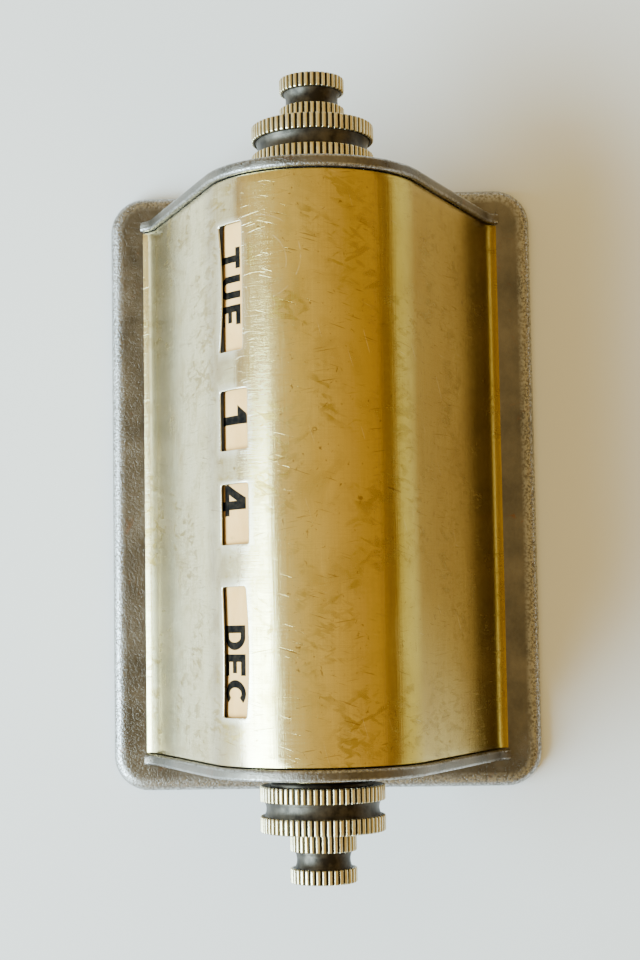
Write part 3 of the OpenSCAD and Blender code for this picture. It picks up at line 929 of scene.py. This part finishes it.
def label_paper():
    """Old paper, yellowed and foxed."""
    t = Tree("label_paper")
    fibre = t.noise((2600, 1500, 1500), 5.0, 0.65)
    stain = t.noise((150, 260, 260), 5.0, 0.6, 0.5)
    foxing = t.noise((600, 600, 600), 6.0, 0.7)
    base = t.mix(t.ramp(stain, 0.35, 0.68), (0.84, 0.49, 0.17), (0.72, 0.38, 0.11))
    spotted = t.mix(t.math("MULTIPLY", t.ramp(foxing, 0.62, 0.72), 0.5), base, (0.40, 0.22, 0.07))
    colour = t.mix(t.ramp(fibre, 0.35, 0.65, 0.0, 0.12), spotted, (0.60, 0.42, 0.22))
    return t.finish(
        Base_Color=colour, Roughness=t.ramp(fibre, 0.3, 0.7, 0.75, 0.92),
        Normal=t.bump(fibre, 0.01 * MM, 0.6), Specular_IOR_Level=0.1,
    )


def ink():
    """Matt black ink, thin in places."""
    t = Tree("printing_ink")
    mottle = t.noise((900, 900, 900), 6.0, 0.7)
    colour = t.mix(t.ramp(mottle, 0.42, 0.70), (0.003, 0.003, 0.003), (0.024, 0.018, 0.012))
    return t.finish(
        Base_Color=colour, Roughness=t.ramp(mottle, 0.3, 0.7, 0.8, 0.95),
        Normal=t.bump(mottle, 0.004 * MM, 0.5), Specular_IOR_Level=0.04,
    )


def metal(name, low, high, rough_low, rough_high, stretch=(200, 1800, 1800)):
    """Plain working metal for the pieces inside: two tones, with turning or rolling lines."""
    t = Tree(name)
    lines = t.noise(stretch, 4.0, 0.6)
    patch = t.noise((260, 260, 260), 4.0, 0.6)
    colour = t.mix(t.ramp(patch, 0.35, 0.65), low, high)
    rough = t.ramp(lines, 0.3, 0.7, rough_low, rough_high)
    return t.finish(
        Base_Color=colour, Metallic=1.0, Roughness=rough, Normal=t.bump(lines, 0.008 * MM, 0.7)
    )


def felt():
    """Green wool felt, worn in patches."""
    t = Tree("felt")
    wool = t.noise((3200, 3200, 900), 6.0, 0.75, 0.4)
    clump = t.noise((420, 420, 420), 4.0, 0.6)
    colour = t.mix(t.ramp(wool, 0.3, 0.7), (0.035, 0.055, 0.032), (0.10, 0.135, 0.085))
    worn = t.mix(t.ramp(clump, 0.5, 0.75, 0.0, 0.4), colour, (0.17, 0.17, 0.12))
    return t.finish(
        Base_Color=worn, Roughness=t.ramp(clump, 0.3, 0.7, 0.88, 0.98),
        Normal=t.bump(wool, 0.12 * MM, 0.9), Sheen_Weight=0.4, Specular_IOR_Level=0.2,
    )


def tabletop():
    """The plain pale floor."""
    t = Tree("tabletop")
    speck = t.noise((260, 260, 260), 5.0, 0.6)
    tone = t.noise((5, 5, 5), 2.0, 0.5)
    colour = t.mix(t.ramp(tone, 0.3, 0.7), (0.74, 0.74, 0.735), (0.78, 0.78, 0.775))
    return t.finish(Base_Color=colour, Roughness=t.ramp(speck, 0.3, 0.7, 0.5, 0.6))


# ---------------------------------------------------------------- the pieces

BRASS = aged_brass()
PAINTED_SHADE_BRASS = cut_brass()
STEEL = tarnished_steel()
KNOB_METAL = knob_metal()
PAPER = label_paper()
INK = ink()
FELT = felt()
SLOT_METALS = {
    "plain_steel": metal("plain_steel", (0.36, 0.36, 0.36), (0.52, 0.51, 0.50), 0.28, 0.45),
    "spring_steel": metal("spring_steel", (0.20, 0.21, 0.25), (0.34, 0.35, 0.38), 0.25, 0.4),
    "screw_steel": metal("screw_steel", (0.22, 0.21, 0.20), (0.36, 0.35, 0.33), 0.3, 0.5),
    "bush_brass": metal("bush_brass", (0.52, 0.40, 0.19), (0.68, 0.53, 0.28), 0.25, 0.42),
    "tinplate": metal("tinplate", (0.42, 0.42, 0.40), (0.56, 0.56, 0.53), 0.35, 0.5),
    "label_paper": PAPER,
}


def dress_cad_nodes():
    """Gives every CAD node that stays its slot's material."""
    for entry in frame["record"]["subparts"]:
        obj = NODES[entry["node"]]
        material = SLOT_METALS.get(entry["material_slot"])
        if material and not obj.hide_render:
            obj.data.materials.clear()
            obj.data.materials.append(material)


def build_object():
    build_cover(BRASS, PAINTED_SHADE_BRASS)
    build_end_plate("day_end_plate", -1, STEEL)
    build_end_plate("month_end_plate", 1, STEEL)
    build_pan(STEEL)
    build_pad(FELT)
    for name, side in (("day", -1), ("month", 1)):
        build_knob(name + "_knob", side, large_profile(), KNOB_TEETH, KNOB_METAL, name)
    for name, side in (("tens", -1), ("ones", 1)):
        build_knob(name + "_knob", side, small_profile(), FINIAL_TEETH, KNOB_METAL, name)
    # (middle along X, cap height, squeeze, gap, stem)
    day_style = (-23.3 * MM, 4.2 * MM, 0.92, 0.85 * MM, 0.235)
    month_style = (24.6 * MM, 4.2 * MM, 0.966, 0.52 * MM, 0.235)
    tens_style = (-6.65 * MM, 5.3 * MM, 1.0, 0.5 * MM, 0.212)
    ones_style = (3.9 * MM, 5.3 * MM, 1.0, 0.5 * MM, 0.212)
    ones = tuple(str(n) for n in range(10))
    tens = ("", "1", "2", "3")
    build_lettering("day_names", DAYS, 2, day_style, math.radians(30.5), INK, "day")
    build_lettering("tens_digits", tens, 1, tens_style, math.radians(29.6), INK, "tens")
    build_lettering("ones_digits", ones, 4, ones_style, math.radians(28.1), INK, "ones")
    build_lettering("month_names", MONTHS, 11, month_style, math.radians(31), INK, "month")
    dress_cad_nodes()


# ---------------------------------------------------------------- camera, floor and light

def build_camera():
    """Looks down at the calendar, with its day end at the top of the picture."""
    camera = bpy.data.cameras.new("camera")
    camera.lens = 69.68
    camera.sensor_width = 36
    camera.sensor_fit = "AUTO"
    camera.clip_start = 0.01
    obj = bpy.data.objects.new("camera", camera)
    bpy.context.scene.collection.objects.link(obj)
    spot = Vector((21.06 * MM, 8.21 * MM, 265.88 * MM))
    target = Vector((0.802 * MM, 0.299 * MM, AXIS_Z))
    roll = math.radians(0.926)
    back = (spot - target).normalized()
    up = Vector((-1, 0, 0))
    up = (up - back * up.dot(back)).normalized()
    up = Matrix.Rotation(roll, 3, -back) @ up
    right = up.cross(back)
    rows = Matrix((right, up, back)).transposed()
    obj.matrix_world = Matrix.Translation(spot) @ rows.to_4x4()
    bpy.context.scene.camera = obj


def add_stage_sheet(name, corners, material):
    """A flat four-cornered sheet that belongs to the scene and not to the calendar."""
    bm = bmesh.new()
    bm.faces.new([bm.verts.new(corner) for corner in corners])
    mesh = bpy.data.meshes.new(name)
    bm.to_mesh(mesh)
    bm.free()
    mesh.materials.append(material)
    obj = bpy.data.objects.new(name, mesh)
    bpy.context.scene.collection.objects.link(obj)


def build_floor():
    half = 1.5
    corners = [(-half, -half, 0.0), (half, -half, 0.0), (half, half, 0.0), (-half, half, 0.0)]
    add_stage_sheet("floor", corners, tabletop())


def brown_card():
    t = Tree("brown_card")
    fibre = t.noise((60, 60, 60), 3.0)
    colour = t.mix(t.ramp(fibre, 0.3, 0.7), (0.12, 0.055, 0.010), (0.17, 0.085, 0.018))
    return t.finish(Base_Color=colour, Roughness=t.ramp(fibre, 0.3, 0.7, 0.8, 0.9))


def build_card():
    """A dark, low backdrop behind the calendar, which the polished brass picks up as a streak."""
    y, low, high, half = 0.5, 0.03, 0.19, 1.2
    corners = [(-half, y, low), (half, y, low), (half, y, high), (-half, y, high)]
    add_stage_sheet("card", corners, brown_card())


def area_light(name, spot, aim, size, power, colour):
    """A rectangular light at spot, turned towards aim."""
    light = bpy.data.lights.new(name, "AREA")
    light.shape = "RECTANGLE"
    light.size, light.size_y = size
    light.energy = power
    light.color = colour
    obj = bpy.data.objects.new(name, light)
    bpy.context.scene.collection.objects.link(obj)
    spot, aim = Vector(spot), Vector(aim)
    turn = (spot - aim).to_track_quat("Z", "Y").to_matrix().to_4x4()
    obj.matrix_world = Matrix.Translation(spot) @ turn


def build_light():
    """Cool daylight from a window on the left, and a warm room all round."""
    world = bpy.data.worlds.new("room")
    bpy.context.scene.world = world
    world.use_nodes = True
    nodes, links = world.node_tree.nodes, world.node_tree.links
    coords = nodes.new("ShaderNodeTexCoord")
    parts = nodes.new("ShaderNodeSeparateXYZ")
    links.new(coords.outputs["Generated"], parts.inputs[0])
    across = nodes.new("ShaderNodeMapRange")
    across.inputs["From Min"].default_value = -0.3
    across.inputs["From Max"].default_value = 0.8
    links.new(parts.outputs[1], across.inputs["Value"])
    blend = nodes.new("ShaderNodeMix")
    blend.data_type = "RGBA"
    blend.inputs[6].default_value = (1.08, 0.87, 0.44, 1.0)
    blend.inputs[7].default_value = (0.90, 0.61, 0.19, 1.0)
    links.new(across.outputs[0], blend.inputs[0])
    background = nodes["Background"]
    links.new(blend.outputs[2], background.inputs["Color"])
    background.inputs["Strength"].default_value = 1.0
    middle = (0, 0, 0.02)
    area_light("window", (0.42, -0.98, 0.50), middle, (1.0, 0.85), 84, (0.60, 0.84, 1.0))


build_camera()
build_floor()
build_card()
build_light()
build_object()
